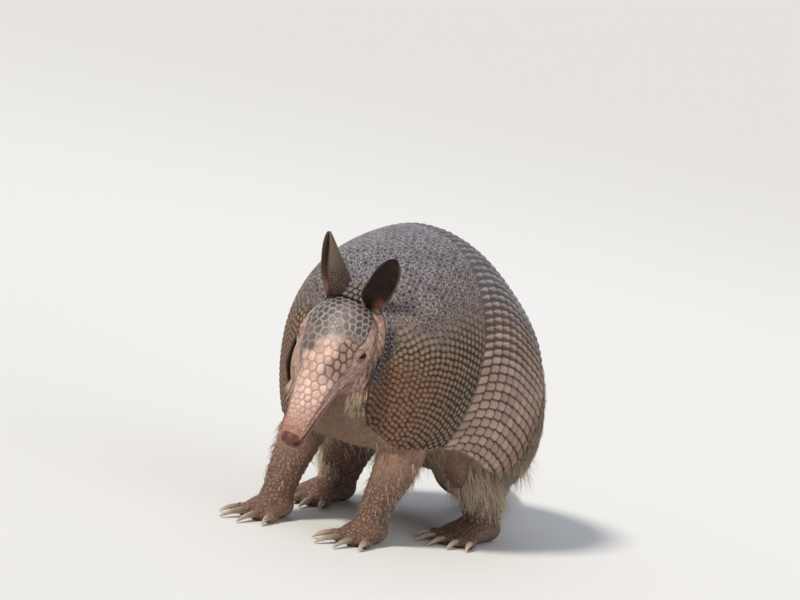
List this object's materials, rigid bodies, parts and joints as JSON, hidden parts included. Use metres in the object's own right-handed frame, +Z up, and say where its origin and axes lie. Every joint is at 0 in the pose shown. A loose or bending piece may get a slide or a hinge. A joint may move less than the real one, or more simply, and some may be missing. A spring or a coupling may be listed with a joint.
{
  "type": "armadillo figure",
  "caption": "Life-size still figure of a long-nosed banded armadillo, standing with its head hanging, a rigid carapace with bands across the back, and a ringed tail.",
  "frame": {"origin": "on the floor under the middle of the animal's bounding box, tail included", "axes": "+X forwards along the body, +Y to the animal's left, +Z up from the floor that the soles rest on"},
  "size_m": [0.4184, 0.2628, 0.1911],
  "materials": {
    "shell": "dull grey-brown horny plates with pale tan scutes",
    "head_shield": "pale pinkish-tan scutes, slightly glossy",
    "skin": "pinkish-brown wrinkled skin with sparse pale hair",
    "nose": "moist red-pink nose pad",
    "ear": "thin dark brown pebbled skin",
    "eye": "glossy near-black",
    "tail": "dull grey-brown horny rings",
    "claw": "pale horn, half glossy"
  },
  "bodies": {
    "root": {"scapular_shield": "shell", "band_1": "shell", "band_2": "shell", "band_3": "shell", "band_4": "shell", "band_5": "shell", "band_6": "shell", "band_7": "shell", "band_8": "shell", "band_9": "shell", "pelvic_shield": "shell", "trunk": "skin", "head": "skin", "jaw": "skin", "nose": "nose", "head_shield": "head_shield", "eye_left": "eye", "eye_right": "eye", "neck": "skin", "ear_left": "ear", "ear_right": "ear", "tail_1": "tail", "tail_2": "tail", "tail_3": "tail", "tail_4": "tail", "front_leg_left": "skin", "front_foot_left": "skin", "claw_front_left_1": "claw", "claw_front_left_2": "claw", "claw_front_left_3": "claw", "claw_front_left_4": "claw", "front_leg_right": "skin", "front_foot_right": "skin", "claw_front_right_1": "claw", "claw_front_right_2": "claw", "claw_front_right_3": "claw", "claw_front_right_4": "claw", "hind_leg_left": "skin", "hind_foot_left": "skin", "claw_hind_left_1": "claw", "claw_hind_left_2": "claw", "claw_hind_left_3": "claw", "claw_hind_left_4": "claw", "claw_hind_left_5": "claw", "hind_leg_right": "skin", "hind_foot_right": "skin", "claw_hind_right_1": "claw", "claw_hind_right_2": "claw", "claw_hind_right_3": "claw", "claw_hind_right_4": "claw", "claw_hind_right_5": "claw"}
  },
  "joints": []
}
